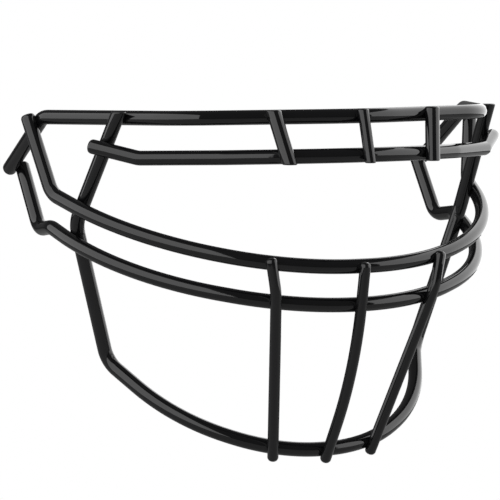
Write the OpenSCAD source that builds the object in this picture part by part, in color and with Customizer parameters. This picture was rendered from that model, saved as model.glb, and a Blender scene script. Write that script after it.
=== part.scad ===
// Face guard of a football helmet: a welded cage of bent steel rods under a black polymer coat.
// X runs across the guard and X = 0 is its mirror plane. The front of the guard faces -Y,
// the wearer's face is on the +Y side and Z is up. All sizes are in mm.
// The origin is level with the top brow bar and midway between its two side bends.

/* [Rods] */
// Diameter of the thick steel rod
rod_d = 6.4; // [5.2:0.1:7.8]
// Diameter of the thin steel rod
thin_d = 4.8; // [4:0.1:5.8]
// Thickness of the polymer coat
coat_t = 0.3; // [0.25:0.05:0.5]
// How far one rod is pressed into the other when they are welded
set_down = 0.7; // [0.5:0.1:1]
// Bend radius of the tight bends, to the rod's centre line
tight_bend = 9; // [8:0.5:10.5]

/* [Cage] */
// Width between the side bends of the top brow bar, centre to centre
guard_w = 235; // [196:1:282]
// From those side bends forward to where the front bend's two tangents meet
guard_fwd = 99; // [83:1:119]
// From the top brow bar down to the chin bar
guard_drop = 160; // [134:1:192]
// Distance of the outer brow ties and jaw uprights from the middle
tie_x = 43; // [36:1:50]

/* [Hidden] */
$fn = 48;

r_thick = rod_d / 2;
r_thin = thin_d / 2;
stack = rod_d - set_down;                 // centre to centre where two thick rods are welded
stack_thin = (rod_d + thin_d) / 2 - set_down;
swell = 0.02;                             // a bend is this much fatter than its straights
lap = 0.4;                                // each straight runs this far into its bends
chamfer = 0.9;                            // at the square-cut ends of the steel, and 1.1 on the coat over it

// The sizes of the drawn cage as shares of the guard's overall sizes
function at(x, y, z) = [x * guard_w / 235, y * guard_fwd / 99, z * guard_drop / 160];

// ---- paths: a list of corner points with a bend radius at each inner corner ----
function unit(v) = v / norm(v);
function turn(u, v) = acos(max(-1, min(1, unit(u) * unit(v))));
function mx(p) = [-p[0], p[1], p[2]];
function flip(l) = [for (i = [len(l) - 1:-1:0]) l[i]];
function both(h) = concat(h, [for (p = flip(h)) mx(p)]);   // half a path -> the whole path
function both_r(b) = concat(b, flip(b));
// length of the tangent at corner i
function trim(p, b, i) = (i == 0 || i == len(p) - 1) ? 0
  : b[i] * tan(turn(p[i] - p[i - 1], p[i + 1] - p[i]) / 2);

// Point and direction on half a path, at a given x (x <= 0) on its last bend or beside it
function front_at(h, r, x) =
  let (n = len(h), c = h[n - 1], u = unit(c - h[n - 2]), v = [1, 0, 0],
       t = r * tan(turn(u, v) / 2), q = unit(v - (u * v) * u), o = c - u * t + q * r,
       w = atan2(q[0], u[0]) + asin((x - o[0]) / (r * norm([q[0], u[0]]))))
  x > c[0] + t ? [[x, c[1], c[2]], v]
  : x < c[0] - t * u[0] ? [c + u * (x - c[0]) / u[0], u]
  : [o - q * r * cos(w) + u * r * sin(w), u * cos(w) + q * sin(w)];

// Seat: the point where a rod running along dir_b rests on a rod that passes p along dir_a.
// The two centre lines are d apart, towards side
function seat(p, dir_a, dir_b, d, side) =
  let (n = unit(cross(dir_a, dir_b))) p + n * d * (n * side > 0 ? 1 : -1);

OUT = [-1, -0.4, 0];      // outward at the left side
FRONT = [0, -1, 0];

// The point at height z on the line that runs through p along dir
function level(p, dir, z) = p + dir * (z - p[2]) / dir[2];

// ---- the five long rods, left half ----
// Top brow bar: round the brow, ends bent back and down to the side fixings
top_tip = at(-117, 41, -27.5);
top_bend = [-guard_w / 2, 0, 0];
top_side_dir = unit(at(44, -96, 2));
top_turn = top_bend + top_side_dir * 84 * guard_fwd / 99;
top_front = at(-12, -99, 2);
top_h = [top_tip, top_bend, top_turn, top_front];
top_b = [0, tight_bend, 36, 71];
leg_dir = unit(top_bend - top_tip);

// Side and chin bar: its upright leans on the outside of the top brow bar
upright_dir = unit([-5.5, 36.5, -55]);
side_seat_on = top_bend + top_side_dir * 49.5;
side_seat = seat(side_seat_on, top_side_dir, upright_dir, stack, OUT);
function up(d) = side_seat + upright_dir * d * guard_drop / 160;   // d down the upright
side_top = level(side_seat, upright_dir, side_seat_on[2] + r_thick - 0.5);   // cut level there
side_knee = up(60.5);
chin_turn = side_knee + at(21, 9, -68.5);
chin_side = chin_turn + at(19, -35, -25.5);
chin_front = chin_side + at(43, -24.5, -15.5);
chin_leg_dir = unit(chin_turn - side_knee);
chin_h = [side_top, side_knee, chin_turn, chin_side, chin_front];
chin_b = [0, 19.5, 12, 91, 76];

// Lower brow bar: its free ends rest on the outside of the upright
brow_end_dir = unit([17, -19.5, -5.5]);
brow_seat_on = up(14);
brow_seat = seat(brow_seat_on, upright_dir, brow_end_dir, stack, OUT);
lower_brow_h = [brow_seat - brow_end_dir * 6, brow_seat + brow_end_dir * 19.5,
  at(-63, -81, -17), at(-23.3, -104.3, -16.2)];
lower_brow_b = [0, tight_bend, 37, 84];

// Upper mouth bar
upper_dir = unit([16, -54.5, -18.5]);
upper_seat = seat(up(49.5), upright_dir, upper_dir, stack, OUT);
upper_bend = upper_seat - upper_dir * 16.5;
upper_side = upper_seat + upper_dir * 42.5;
upper_front = upper_side + at(64.5, -40.5, -14);
upper_top_on = top_bend - leg_dir * 4;
upper_top_seat = seat(upper_top_on, leg_dir, upper_top_on - upper_bend, stack, OUT);
upper_tip = upper_bend + (upper_top_seat - upper_bend) * 1.1;
upper_h = [upper_tip, upper_bend, upper_side, upper_front];
upper_b = [0, tight_bend, 115, 111];

// Lower mouth bar
lower_dir = unit([9, -55, -19.5]);
lower_seat = seat(side_knee + chin_leg_dir * 6.5, chin_leg_dir, lower_dir, stack, OUT);
lower_jog = lower_seat - lower_dir * 15.5;
lower_side = lower_seat + lower_dir * 44;
lower_front = lower_side + at(71.5, -43, -14.5);
lower_bend = lower_jog + at(1.4, 16.5, -2);
lower_top_on = top_tip + leg_dir * 4;
lower_top_seat = seat(lower_top_on, leg_dir, lower_top_on - lower_bend, stack, -OUT);
lower_tip = lower_bend + (lower_top_seat - lower_bend) * 1;
lower_h = [lower_tip, lower_bend, lower_jog, lower_side, lower_front];
lower_b = [0, tight_bend, tight_bend, 107, 108.5];

// ---- ties and uprights: each is seated on the front of the bars that it crosses ----
function seats_on(h, r, x, dir, d) = let (f = front_at(h, r, x)) seat(f[0], f[1], dir, d, FRONT);

function brow_tie(xt, xb, d) =
  let (a = front_at(top_h, top_b[3], xt)[0], b = front_at(lower_brow_h, lower_brow_b[3], xb)[0],
       s = seats_on(top_h, top_b[3], xt, b - a, d),
       e = seats_on(lower_brow_h, lower_brow_b[3], xb, b - a, d),
       k = unit(e - s))
  [level(s, k, a[2] + r_thick), level(e, k, b[2] - r_thick)];   // cut level with the two bars

outer_tie = brow_tie(-tie_x + 2, -tie_x + 6, stack);
centre_tie = brow_tie(0, 0, stack_thin);

chin_x = -tie_x * 0.6;
function jaw_seats(xu, xl, xc, dir_u, dir_l) = [
  seats_on(upper_h, upper_b[3], xu, dir_u, stack_thin),
  seats_on(lower_h, lower_b[4], xl, dir_l, stack_thin),
  seats_on(chin_h, chin_b[4], xc, dir_l, stack_thin)];

// Outer uprights have a small kink just above the lower mouth bar
outer_s = jaw_seats(-tie_x - 0.7, -tie_x + 3, chin_x, [3, 1, -16.5], [17, 33, -84.5]);
outer_kink = outer_s[1] + unit(outer_s[1] - outer_s[2]) * 7;
outer_jaw = [outer_s[0] + unit(outer_s[0] - outer_kink) * 3, outer_kink,
  outer_s[2] + unit(outer_s[2] - outer_s[1]) * 4.5];
outer_jaw_b = [0, 25, 0];

// The centre upright is curved in the mirror plane
centre_s = jaw_seats(0, 0, 0, [0, 4.5, -19], [0, 29, -48]);
centre_kink = centre_s[1] + unit(centre_s[1] - centre_s[0]) * 29;
centre_jaw = [centre_s[0] + unit(centre_s[0] - centre_s[1]) * 3, centre_kink,
  centre_s[2] + unit(centre_s[2] - centre_kink) * 3.5];
centre_jaw_b = [0, 177, 0];

// ---- solid rods ----
module between(a, b) {   // +Z of the children runs from a to b
  d = b - a;
  translate(a) rotate([0, acos(d[2] / norm(d)), atan2(d[1], d[0])]) children();
}

// a straight length, with a chamfer c0 or c1 at a cut end
module straight(l, r, c0, c1) {
  if (c0 + c1 == 0) cylinder(r = r, h = l);
  else rotate_extrude() polygon(concat([[0, 0]],
    c0 > 0 ? [[r - c0, 0], [r, c0]] : [[r, 0]],
    c1 > 0 ? [[r, l - c1], [r - c1, l]] : [[r, l]], [[0, l]]));
}

// spin turns the seam line of the straights round them, away from a cut
module rod(p, b, r, ext = 0, c = 0, spin = 0) {
  n = len(p);
  for (i = [0:n - 2]) {
    u = unit(p[i + 1] - p[i]);
    first = i == 0;
    last = i == n - 2;
    s = p[i] + u * (first ? -ext : trim(p, b, i) - lap);
    e = p[i + 1] - u * (last ? -ext : trim(p, b, i + 1) - lap);
    between(s, e) rotate([0, 0, spin]) straight(norm(e - s), r, first ? c : 0, last ? c : 0);
  }
  for (i = [1:1:n - 2]) {
    u = unit(p[i] - p[i - 1]);
    v = unit(p[i + 1] - p[i]);
    q = unit(v - (u * v) * u);          // towards the middle of the bend
    o = p[i] - u * trim(p, b, i) + q * b[i];
    z = cross(u, q);
    multmatrix([[-q[0], u[0], z[0], o[0]], [-q[1], u[1], z[1], o[1]], [-q[2], u[2], z[2], o[2]],
                [0, 0, 0, 1]])
      rotate_extrude(angle = turn(u, v)) translate([b[i], 0]) circle(r = r + swell);
  }
}

// Each rod as its bare core (k = 0) or as the outside of its coat (k = 1)
module bar(p, b, r, k) { rod(p, b, r + k * coat_t, k * coat_t, chamfer + k * 0.2); }

// The same for a rod whose ends are cut level, at heights lo and hi, instead of square
module level_bar(p, b, r, k, lo, hi, spin = 0) {
  intersection() {
    rod(p, b, r + k * coat_t, 4, chamfer, spin);
    translate([-300, -300, lo - k * coat_t]) cube([600, 600, hi - lo + 2 * k * coat_t]);
  }
}

module top_brow(k) { bar(both(top_h), both_r(top_b), r_thick, k); }
module lower_brow(k) { bar(both(lower_brow_h), both_r(lower_brow_b), r_thick, k); }
module upper_mouth(k) { bar(both(upper_h), both_r(upper_b), r_thick, k); }
module lower_mouth(k) { bar(both(lower_h), both_r(lower_b), r_thick, k); }
module side_chin(k) {
  level_bar(both(chin_h), both_r(chin_b), r_thick, k, -2 * guard_drop, side_top[2], 90);
}
module brow_tie(p, r, k) { level_bar(p, [0, 0], r, k, p[1][2], p[0][2]); }
module brow_tie_left(k) { brow_tie(outer_tie, r_thick, k); }
module brow_tie_right(k) { brow_tie([for (p = outer_tie) mx(p)], r_thick, k); }
module brow_tie_centre(k) { brow_tie(centre_tie, r_thin, k); }
module jaw_left(k) { bar(outer_jaw, outer_jaw_b, r_thin, k); }
module jaw_right(k) { bar([for (p = outer_jaw) mx(p)], outer_jaw_b, r_thin, k); }
module jaw_centre(k) { bar(centre_jaw, centre_jaw_b, r_thin, k); }

// ---- steel rods: a rod laid on another is pressed down over it ----
STEEL = [0.62, 0.63, 0.65];
BLACK = [0.03, 0.03, 0.035];

module top_brow_rod() color(STEEL) top_brow(0);
module lower_brow_rod() color(STEEL) lower_brow(0);
module upper_mouth_rod() color(STEEL) difference() { upper_mouth(0); top_brow(0); }
module lower_mouth_rod() color(STEEL) difference() { lower_mouth(0); top_brow(0); }
module side_chin_rod() color(STEEL)
  difference() { side_chin(0); top_brow(0); lower_brow(0); upper_mouth(0); lower_mouth(0); }
module left_brow_tie_rod() color(STEEL)
  difference() { brow_tie_left(0); top_brow(0); lower_brow(0); }
module centre_brow_tie_rod() color(STEEL)
  difference() { brow_tie_centre(0); top_brow(0); lower_brow(0); }
module right_brow_tie_rod() color(STEEL)
  difference() { brow_tie_right(0); top_brow(0); lower_brow(0); }
module left_jaw_rod() color(STEEL)
  difference() { jaw_left(0); upper_mouth(0); lower_mouth(0); side_chin(0); }
module centre_jaw_rod() color(STEEL)
  difference() { jaw_centre(0); upper_mouth(0); lower_mouth(0); side_chin(0); }
module right_jaw_rod() color(STEEL)
  difference() { jaw_right(0); upper_mouth(0); lower_mouth(0); side_chin(0); }

// ---- coat: a skin round each rod, stopping where the coat of the rod beneath takes over ----
module top_brow_coat() color(BLACK) difference() {
  top_brow(1); top_brow(0); side_chin(0); upper_mouth(0); lower_mouth(0);
  brow_tie_left(0); brow_tie_centre(0); brow_tie_right(0);
}
module lower_brow_coat() color(BLACK) difference() {
  lower_brow(1); lower_brow(0); side_chin(0);
  brow_tie_left(0); brow_tie_centre(0); brow_tie_right(0);
}
module upper_mouth_coat() color(BLACK) difference() {
  upper_mouth(1); upper_mouth(0); top_brow(1); side_chin(0);
  jaw_left(0); jaw_centre(0); jaw_right(0);
}
module lower_mouth_coat() color(BLACK) difference() {
  lower_mouth(1); lower_mouth(0); top_brow(1); side_chin(0);
  jaw_left(0); jaw_centre(0); jaw_right(0);
}
module side_chin_coat() color(BLACK) difference() {
  side_chin(1); side_chin(0); top_brow(1); lower_brow(1); upper_mouth(1); lower_mouth(1);
  jaw_left(0); jaw_centre(0); jaw_right(0);
}
module left_brow_tie_coat() color(BLACK)
  difference() { brow_tie_left(1); brow_tie_left(0); top_brow(1); lower_brow(1); }
module centre_brow_tie_coat() color(BLACK)
  difference() { brow_tie_centre(1); brow_tie_centre(0); top_brow(1); lower_brow(1); }
module right_brow_tie_coat() color(BLACK)
  difference() { brow_tie_right(1); brow_tie_right(0); top_brow(1); lower_brow(1); }
module left_jaw_coat() color(BLACK)
  difference() { jaw_left(1); jaw_left(0); upper_mouth(1); lower_mouth(1); side_chin(1); }
module centre_jaw_coat() color(BLACK)
  difference() { jaw_centre(1); jaw_centre(0); upper_mouth(1); lower_mouth(1); side_chin(1); }
module right_jaw_coat() color(BLACK)
  difference() { jaw_right(1); jaw_right(0); upper_mouth(1); lower_mouth(1); side_chin(1); }

top_brow_rod();
lower_brow_rod();
upper_mouth_rod();
lower_mouth_rod();
side_chin_rod();
left_brow_tie_rod();
centre_brow_tie_rod();
right_brow_tie_rod();
left_jaw_rod();
centre_jaw_rod();
right_jaw_rod();
top_brow_coat();
lower_brow_coat();
upper_mouth_coat();
lower_mouth_coat();
side_chin_coat();
left_brow_tie_coat();
centre_brow_tie_coat();
right_brow_tie_coat();
left_jaw_coat();
centre_jaw_coat();
right_jaw_coat();
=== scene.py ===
import math

import bmesh
import bpy
from mathutils import Matrix, Vector


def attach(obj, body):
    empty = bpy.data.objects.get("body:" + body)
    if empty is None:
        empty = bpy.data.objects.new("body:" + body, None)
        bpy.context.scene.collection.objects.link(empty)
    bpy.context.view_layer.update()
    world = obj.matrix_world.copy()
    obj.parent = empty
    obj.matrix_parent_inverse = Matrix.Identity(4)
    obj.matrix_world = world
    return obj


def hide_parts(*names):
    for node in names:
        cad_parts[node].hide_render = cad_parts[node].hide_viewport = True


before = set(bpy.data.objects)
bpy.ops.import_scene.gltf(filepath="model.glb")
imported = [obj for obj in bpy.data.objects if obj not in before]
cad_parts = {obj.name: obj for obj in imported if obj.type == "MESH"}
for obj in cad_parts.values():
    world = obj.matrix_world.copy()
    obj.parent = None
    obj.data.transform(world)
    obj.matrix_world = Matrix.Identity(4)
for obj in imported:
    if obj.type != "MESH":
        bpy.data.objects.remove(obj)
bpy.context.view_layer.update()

# ---- Camera ----
# A long lens, level with the brow and a little to the guard's left, tipped down by a few degrees.
VIEW_TURN = math.radians(28)
VIEW_TILT = math.radians(4.5)
VIEW_DISTANCE = 1.9026
AIM_ACROSS = -0.00461     # where the lens aims, across and above the origin in its own view
AIM_ABOVE = -0.06801
LENS = 277.776            # focal length on a 36 mm sensor
across = Vector((math.cos(VIEW_TURN), -math.sin(VIEW_TURN), 0))
ahead = Vector((math.sin(VIEW_TURN) * math.cos(VIEW_TILT), math.cos(VIEW_TURN) * math.cos(VIEW_TILT),
                -math.sin(VIEW_TILT)))
above = across.cross(ahead)
camera = bpy.data.objects.new("camera", bpy.data.cameras.new("camera"))
camera.data.sensor_width = 36
camera.data.lens = LENS
camera.data.clip_end = 200
camera.matrix_world = (
    Matrix.Translation(AIM_ACROSS * across + AIM_ABOVE * above - VIEW_DISTANCE * ahead)
    @ Matrix((across, above, -ahead)).transposed().to_4x4())
bpy.context.scene.collection.objects.link(camera)
bpy.context.scene.camera = camera

# ---- Top brow bar ----
# The longest bar of the guard: quarter-inch steel rod, bent round the brow on a bending jig, with both ends
# bent back and down to the sides of the helmet. Like every bar it lies under a dipped black polymer coat.
MM = 0.001
THICK = 3.2          # radius of the quarter-inch rod, in mm; all lengths of the cage are in mm
THIN = 2.4           # radius of the 3/16 inch rod
COAT = 0.3           # the coat on each
SQUARE_ROUND = 2.0   # rounding of the coat over a square-cut end
LEVEL_ROUND = 0.7    # rounding of the coat over an end that is cut level with another bar
LINING_GAP = 0.03    # from the steel to the inner face of the coat
TIGHT = 9            # radius of the tight bends, on the rod's centre line


def mirrored(point):
    return Vector((-point.x, point.y, point.z))


def both_sides(half):
    return half + [mirrored(p) for p in reversed(half)]


def both_bends(radii):
    return radii + radii[::-1]


def tangent(corner, before, after, radius):
    """Length of a bend's tangent at a corner."""
    return radius * math.tan((corner - before).angle(after - corner) / 2)


def bent_line(corners, radii):
    """The centre line of a bent rod: points along its straights and arcs, with their directions."""
    straight_step, arc_step, arc_turn = 6, 4, math.radians(2.5)
    line = []
    start = corners[0]
    for i in range(1, len(corners)):
        ahead_dir = (corners[i] - corners[i - 1]).normalized()
        if i == len(corners) - 1:
            end, arc = corners[i], None
        else:
            next_dir = (corners[i + 1] - corners[i]).normalized()
            reach = tangent(corners[i], corners[i - 1], corners[i + 1], radii[i])
            end, arc = corners[i] - ahead_dir * reach, (next_dir, radii[i])
        pieces = max(2, round((end - start).length / straight_step))
        line += [(start.lerp(end, k / pieces), ahead_dir) for k in range(pieces)]
        if arc is None:
            line.append((end, ahead_dir))
            break
        next_dir, radius = arc
        whole = ahead_dir.angle(next_dir)
        inward = (next_dir - ahead_dir * ahead_dir.dot(next_dir)).normalized()
        middle = end + inward * radius
        pieces = max(4, math.ceil(whole / arc_turn), math.ceil(whole * radius / arc_step))
        for k in range(pieces):
            turned = whole * k / pieces
            line.append((
                middle - inward * radius * math.cos(turned) + ahead_dir * radius * math.sin(turned),
                ahead_dir * math.cos(turned) + inward * math.sin(turned)))
        start = corners[i] + next_dir * reach
    return line


def skin(mesh, line, radius, end_reach, end_round, sides, level_ends, inside_out=False):
    """Wraps a closed tube round a centre line. Its ends are cut square or level, with a rounded edge."""
    round_angles = [math.radians(18 * n) for n in range(6)]
    side_angles = [2 * math.pi * n / sides for n in range(sides)]
    rings = []
    for k, (point, along) in enumerate(line):
        if k == 0:
            across_dir = along.orthogonal().normalized()
        else:
            across_dir = (across_dir - along * across_dir.dot(along)).normalized()
        first, last = k == 0, k == len(line) - 1
        profile = [(0.0, radius)]
        if first or last:
            profile = [(end_reach - end_round * (1 - math.sin(a)),
                        radius - end_round * (1 - math.cos(a))) for a in round_angles]
            if first:
                profile = [(-s, r) for s, r in reversed(profile)]
        up_dir = along.cross(across_dir)
        for shift, r in profile:
            ring = []
            for b in side_angles:
                place = point + (across_dir * math.cos(b) + up_dir * math.sin(b)) * r
                if level_ends and (first or last):
                    height = point.z + math.copysign(1, along.z) * shift
                    place += along * (height - place.z) / along.z
                else:
                    place += along * shift
                ring.append(mesh.verts.new(place * MM))
            rings.append(ring)
    faces = []
    for low, high in zip(rings, rings[1:]):
        for n in range(sides):
            beside = (n + 1) % sides
            faces.append(mesh.faces.new((low[n], low[beside], high[beside], high[n])))
    faces.append(mesh.faces.new(rings[0][::-1]))
    faces.append(mesh.faces.new(rings[-1]))
    for face in faces:
        face.smooth = len(face.verts) == 4
        if inside_out:
            face.normal_flip()


def material(name):
    made = bpy.data.materials.new(name)
    made.use_nodes = True
    return made, made.node_tree.nodes, made.node_tree.links, made.node_tree.nodes["Principled BSDF"]


def black_coat():
    """Dipped black polymer, cured glossy, with a fine peel and faint rubs."""
    made, nodes, links, shader = material("black_coat")
    shader.inputs["Base Color"].default_value = (0.004, 0.004, 0.0045, 1)
    shader.inputs["IOR"].default_value = 1.5
    place = nodes.new("ShaderNodeTexCoord")
    peel = nodes.new("ShaderNodeTexNoise")
    peel.inputs["Scale"].default_value = 420
    peel.inputs["Detail"].default_value = 2
    rub = nodes.new("ShaderNodeTexNoise")
    rub.inputs["Scale"].default_value = 90
    rub.inputs["Detail"].default_value = 6
    spread = nodes.new("ShaderNodeMapRange")
    spread.inputs["From Min"].default_value = 0.35
    spread.inputs["From Max"].default_value = 0.75
    spread.inputs["To Min"].default_value = 0.04
    spread.inputs["To Max"].default_value = 0.09
    bump = nodes.new("ShaderNodeBump")
    bump.inputs["Strength"].default_value = 0.05
    bump.inputs["Distance"].default_value = 0.0002
    links.new(place.outputs["Object"], peel.inputs["Vector"])
    links.new(place.outputs["Object"], rub.inputs["Vector"])
    links.new(rub.outputs["Fac"], spread.inputs["Value"])
    links.new(spread.outputs["Result"], shader.inputs["Roughness"])
    links.new(peel.outputs["Fac"], bump.inputs["Height"])
    links.new(bump.outputs["Normal"], shader.inputs["Normal"])
    return made


def drawn_steel():
    """Bare drawn rod under the coat: grey, with fine marks from the die."""
    made, nodes, links, shader = material("drawn_steel")
    shader.inputs["Metallic"].default_value = 1
    place = nodes.new("ShaderNodeTexCoord")
    marks = nodes.new("ShaderNodeTexNoise")
    marks.inputs["Scale"].default_value = 600
    marks.inputs["Detail"].default_value = 4
    tint = nodes.new("ShaderNodeValToRGB")
    tint.color_ramp.elements[0].color = (0.42, 0.43, 0.45, 1)
    tint.color_ramp.elements[1].color = (0.62, 0.63, 0.65, 1)
    wear = nodes.new("ShaderNodeMapRange")
    wear.inputs["To Min"].default_value = 0.28
    wear.inputs["To Max"].default_value = 0.46
    links.new(place.outputs["Object"], marks.inputs["Vector"])
    links.new(marks.outputs["Fac"], tint.inputs["Fac"])
    links.new(marks.outputs["Fac"], wear.inputs["Value"])
    links.new(tint.outputs["Color"], shader.inputs["Base Color"])
    links.new(wear.outputs["Result"], shader.inputs["Roughness"])
    return made


coat_finish = black_coat()
steel_finish = drawn_steel()


def coated_rod(name, corners, radii, steel_radius, level_ends=False):
    """One rod of the cage. Its steel stays as it is, and the coat over it is a closed skin of its own."""
    line = bent_line(corners, radii)
    mesh = bmesh.new()
    outer_round, inner_round = (LEVEL_ROUND, 0.2) if level_ends else (SQUARE_ROUND, 1.0)
    skin(mesh, line, steel_radius + COAT, COAT, outer_round, 40, level_ends)
    skin(mesh, line, steel_radius + LINING_GAP, LINING_GAP, inner_round, 24, level_ends, inside_out=True)
    data = bpy.data.meshes.new(name + "_coat")
    mesh.to_mesh(data)
    mesh.free()
    data.materials.append(coat_finish)
    piece = bpy.data.objects.new(name + "_dip", data)
    bpy.context.scene.collection.objects.link(piece)
    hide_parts(name + "_coat")
    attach(piece, "root")
    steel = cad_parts[name + "_rod"]
    for slot in steel.material_slots:
        slot.material = steel_finish


top_tip = Vector((-117, 41, -27.5))
top_side_bend = Vector((-117.5, 0, 0))
top_side_along = Vector((44, -96, 2)).normalized()
top_corners = [top_tip, top_side_bend, top_side_bend + top_side_along * 84, Vector((-12, -99, 2))]
top_bends = [0, TIGHT, 36, 71]
coated_rod("top_brow", both_sides(top_corners), both_bends(top_bends), THICK)

# ---- Side and chin bar: where it stands ----
# The upright of the side and chin bar leans on the outside of the top brow bar. The other bars take their
# places from it, so its line is settled before theirs and its rod is made later.
SET_DOWN = 0.7                           # how far one rod is pressed into the other at a weld
WELDED = 2 * THICK - SET_DOWN            # centre to centre of two thick rods that are welded
WELDED_THIN = THICK + THIN - SET_DOWN    # the same for a thin rod on a thick one
OUTWARD = Vector((-1, -0.4, 0))
FORWARD = Vector((0, -1, 0))


def unit(x, y, z):
    return Vector((x, y, z)).normalized()


def seat(point, along_a, along_b, apart, side):
    """Where a rod running along_b rests on a rod that passes point along_a, on the given side of it."""
    normal = along_a.cross(along_b).normalized()
    return point + normal * apart * (1 if normal.dot(side) > 0 else -1)


def at_height(point, along, height):
    """The point at a given height on the line that runs through point."""
    return point + along * (height - point.z) / along.z


leg_along = (top_side_bend - top_tip).normalized()
upright_along = unit(-5.5, 36.5, -55)
side_rest = top_side_bend + top_side_along * 49.5
side_seat = seat(side_rest, top_side_along, upright_along, WELDED, OUTWARD)
side_knee = side_seat + upright_along * 60.5
chin_turn = side_knee + Vector((21, 9, -68.5))
chin_side = chin_turn + Vector((19, -35, -25.5))
chin_front = chin_side + Vector((43, -24.5, -15.5))
chin_leg_along = (chin_turn - side_knee).normalized()
side_top = at_height(side_seat, upright_along, side_rest.z + THICK - 0.5)
chin_corners = [side_top, side_knee, chin_turn, chin_side, chin_front]
chin_bends = [0, 19.5, 12, 91, 76]

# ---- Lower brow bar ----
# The second thick bar round the brow. Its free ends turn back a little and rest on the outside of the uprights.
brow_end_along = unit(17, -19.5, -5.5)
brow_seat = seat(side_seat + upright_along * 14, upright_along, brow_end_along, WELDED, OUTWARD)
brow_corners = [brow_seat - brow_end_along * 6, brow_seat + brow_end_along * 19.5,
                Vector((-63, -81, -17)), Vector((-23.3, -104.3, -16.2))]
brow_bends = [0, TIGHT, 37, 84]
coated_rod("lower_brow", both_sides(brow_corners), both_bends(brow_bends), THICK)

# ---- Upper mouth bar ----
# Thick rod across the front below the eyes. Each end turns up behind the upright to the top bar's leg.
upper_along = unit(16, -54.5, -18.5)
upper_seat = seat(side_seat + upright_along * 49.5, upright_along, upper_along, WELDED, OUTWARD)
upper_bend = upper_seat - upper_along * 16.5
upper_side = upper_seat + upper_along * 42.5
upper_front = upper_side + Vector((64.5, -40.5, -14))
upper_leg_point = top_side_bend - leg_along * 4
upper_leg_seat = seat(upper_leg_point, leg_along, upper_leg_point - upper_bend, WELDED, OUTWARD)
upper_corners = [upper_bend + (upper_leg_seat - upper_bend) * 1.1, upper_bend, upper_side, upper_front]
upper_bends = [0, TIGHT, 115, 111]
coated_rod("upper_mouth", both_sides(upper_corners), both_bends(upper_bends), THICK)

# ---- Lower mouth bar ----
# Thick rod below the upper mouth bar. Behind the upright it jogs, then climbs to the tip of the top bar's leg.
lower_along = unit(9, -55, -19.5)
lower_seat = seat(side_knee + chin_leg_along * 6.5, chin_leg_along, lower_along, WELDED, OUTWARD)
lower_jog = lower_seat - lower_along * 15.5
lower_side = lower_seat + lower_along * 44
lower_front = lower_side + Vector((71.5, -43, -14.5))
lower_bend = lower_jog + Vector((1.4, 16.5, -2))
lower_leg_point = top_tip + leg_along * 4
lower_leg_seat = seat(lower_leg_point, leg_along, lower_leg_point - lower_bend, WELDED, -OUTWARD)
lower_corners = [lower_leg_seat, lower_bend, lower_jog, lower_side, lower_front]
lower_bends = [0, TIGHT, TIGHT, 107, 108.5]
coated_rod("lower_mouth", both_sides(lower_corners), both_bends(lower_bends), THICK)

# ---- Side and chin bar: the rod ----
# One thick rod: down from the brow at each side, inward at the knee, then round under the chin.
coated_rod("side_chin", both_sides(chin_corners), both_bends(chin_bends), THICK, level_ends=True)

# ---- Brow ties ----
# Three short straight rods that hold the two brow bars apart, welded on the front of both. The outer two
# are of the thick rod and the middle one is of the thin rod.


def on_front(half, radius, x):
    """The point and direction of a bar at a distance x from the middle, on its last bend or beside it."""
    corner = half[-1]
    along = (corner - half[-2]).normalized()
    ahead_dir = Vector((1, 0, 0))
    reach = radius * math.tan(along.angle(ahead_dir) / 2)
    if x > corner.x + reach:
        return Vector((x, corner.y, corner.z)), ahead_dir
    if x < corner.x - reach * along.x:
        return corner + along * (x - corner.x) / along.x, along
    inward = (ahead_dir - along * along.dot(ahead_dir)).normalized()
    middle = corner - along * reach + inward * radius
    turned = (math.atan2(inward.x, along.x)
              + math.asin((x - middle.x) / (radius * math.hypot(inward.x, along.x))))
    return (middle - inward * radius * math.cos(turned) + along * radius * math.sin(turned),
            along * math.cos(turned) + inward * math.sin(turned))


def front_seat(half, radius, x, along, apart):
    point, bar_along = on_front(half, radius, x)
    return seat(point, bar_along, along, apart, FORWARD)


def brow_tie(x_top, x_bottom, apart):
    on_top = on_front(top_corners, top_bends[3], x_top)[0]
    on_brow = on_front(brow_corners, brow_bends[3], x_bottom)[0]
    along = on_brow - on_top
    start = front_seat(top_corners, top_bends[3], x_top, along, apart)
    end = front_seat(brow_corners, brow_bends[3], x_bottom, along, apart)
    lean = (end - start).normalized()
    return [at_height(start, lean, on_top.z + THICK), at_height(end, lean, on_brow.z - THICK)]


TIE_X = 43
outer_tie = brow_tie(-TIE_X + 2, -TIE_X + 6, WELDED)
coated_rod("left_brow_tie", outer_tie, [0, 0], THICK, level_ends=True)
coated_rod("centre_brow_tie", brow_tie(0, 0, WELDED_THIN), [0, 0], THIN, level_ends=True)
coated_rod("right_brow_tie", [mirrored(p) for p in outer_tie], [0, 0], THICK, level_ends=True)

# ---- Jaw uprights ----
# Three thin rods from the upper mouth bar down to the chin, welded on the front of the bars they cross. The
# outer two have a small kink above the lower mouth bar, and the middle one is curved.


def jaw_seats(x_upper, x_lower, x_chin, along_upper, along_lower):
    return [front_seat(upper_corners, upper_bends[3], x_upper, along_upper, WELDED_THIN),
            front_seat(lower_corners, lower_bends[4], x_lower, along_lower, WELDED_THIN),
            front_seat(chin_corners, chin_bends[4], x_chin, along_lower, WELDED_THIN)]


upper, lower, chin = jaw_seats(-TIE_X - 0.7, -TIE_X + 3, -TIE_X * 0.6,
                               Vector((3, 1, -16.5)), Vector((17, 33, -84.5)))
kink = lower + (lower - chin).normalized() * 7
outer_jaw = [upper + (upper - kink).normalized() * 3, kink, chin + (chin - lower).normalized() * 4.5]
coated_rod("left_jaw", outer_jaw, [0, 25, 0], THIN)
coated_rod("right_jaw", [mirrored(p) for p in outer_jaw], [0, 25, 0], THIN)

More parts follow.
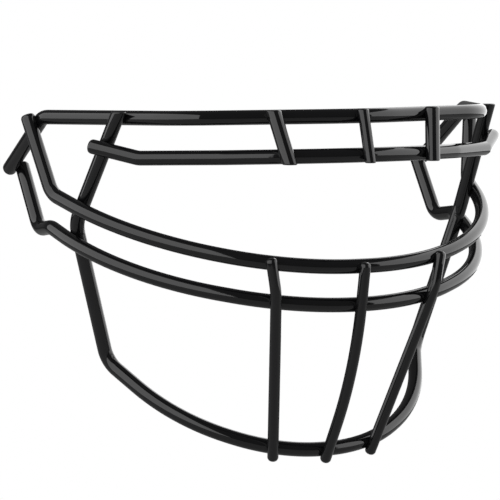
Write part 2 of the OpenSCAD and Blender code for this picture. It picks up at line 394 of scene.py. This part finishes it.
upper, lower, chin = jaw_seats(0, 0, 0, Vector((0, 4.5, -19)), Vector((0, 29, -48)))
kink = lower + (lower - upper).normalized() * 29
centre_jaw = [upper + (upper - lower).normalized() * 3, kink, chin + (chin - kink).normalized() * 3.5]
coated_rod("centre_jaw", centre_jaw, [0, 177, 0], THIN)

# ---- Stage ----
# A pale floor and a white surround, with two tall soft boxes that stand at the sides, nearly all round.


def staged(name, mesh, finish):
    mesh.materials.append(finish)
    thing = bpy.data.objects.new(name, mesh)
    bpy.context.scene.collection.objects.link(thing)
    return thing


floor_finish, _, _, shader = material("pale_floor")
shader.inputs["Base Color"].default_value = (0.4, 0.4, 0.4, 1)
shader.inputs["Roughness"].default_value = 0.9
FLOOR_HALF, FLOOR_HEIGHT = 9, -0.4
floor_mesh = bpy.data.meshes.new("floor")
floor_mesh.from_pydata([(x * FLOOR_HALF, y * FLOOR_HALF, FLOOR_HEIGHT)
                        for x, y in ((-1, -1), (1, -1), (1, 1), (-1, 1))], [], [(0, 1, 2, 3)])
floor = staged("floor", floor_mesh, floor_finish)
floor.visible_camera = False

white, _, _, shader = material("white_surround")
shader.inputs["Base Color"].default_value = (0, 0, 0, 1)
shader.inputs["Specular IOR Level"].default_value = 0
shader.inputs["Emission Color"].default_value = (1, 1, 1, 1)
shader.inputs["Emission Strength"].default_value = 1.0
surround_mesh = bpy.data.meshes.new("surround")
ball = bmesh.new()
bmesh.ops.create_uvsphere(ball, u_segments=48, v_segments=24, radius=40)
ball.to_mesh(surround_mesh)
ball.free()
surround = staged("surround", surround_mesh, white)
surround.visible_diffuse = surround.visible_glossy = surround.visible_shadow = False
surround.visible_transmission = surround.visible_volume_scatter = False


def soft_box(name, bearing, width, bottom, top, distance, radiance):
    """A tall soft box facing the guard. bearing turns from +Y towards +X."""
    out = Vector((math.sin(bearing), math.cos(bearing), 0))
    light = bpy.data.lights.new(name, "AREA")
    light.shape = "RECTANGLE"
    light.size, light.size_y = width, top - bottom
    light.energy = radiance * math.pi * width * (top - bottom)
    box = bpy.data.objects.new(name, light)
    side = out.cross(Vector((0, 0, 1)))
    box.matrix_world = (Matrix.Translation(out * distance + Vector((0, 0, (bottom + top) / 2)))
                        @ Matrix((side, Vector((0, 0, 1)), out)).transposed().to_4x4())
    box.visible_camera = False
    bpy.context.scene.collection.objects.link(box)


soft_box("soft_box_left", math.radians(263), width=3.2, bottom=-0.33, top=2.3, distance=1.25, radiance=1.8)
soft_box("soft_box_right", math.radians(90), width=3.6, bottom=-0.33, top=1.45, distance=1.25, radiance=1.85)

world = bpy.data.worlds.new("dim_studio")
world.use_nodes = True
world.node_tree.nodes["Background"].inputs["Color"].default_value = (0.12, 0.12, 0.12, 1)
bpy.context.scene.world = world
bpy.context.scene.view_settings.view_transform = "Standard"
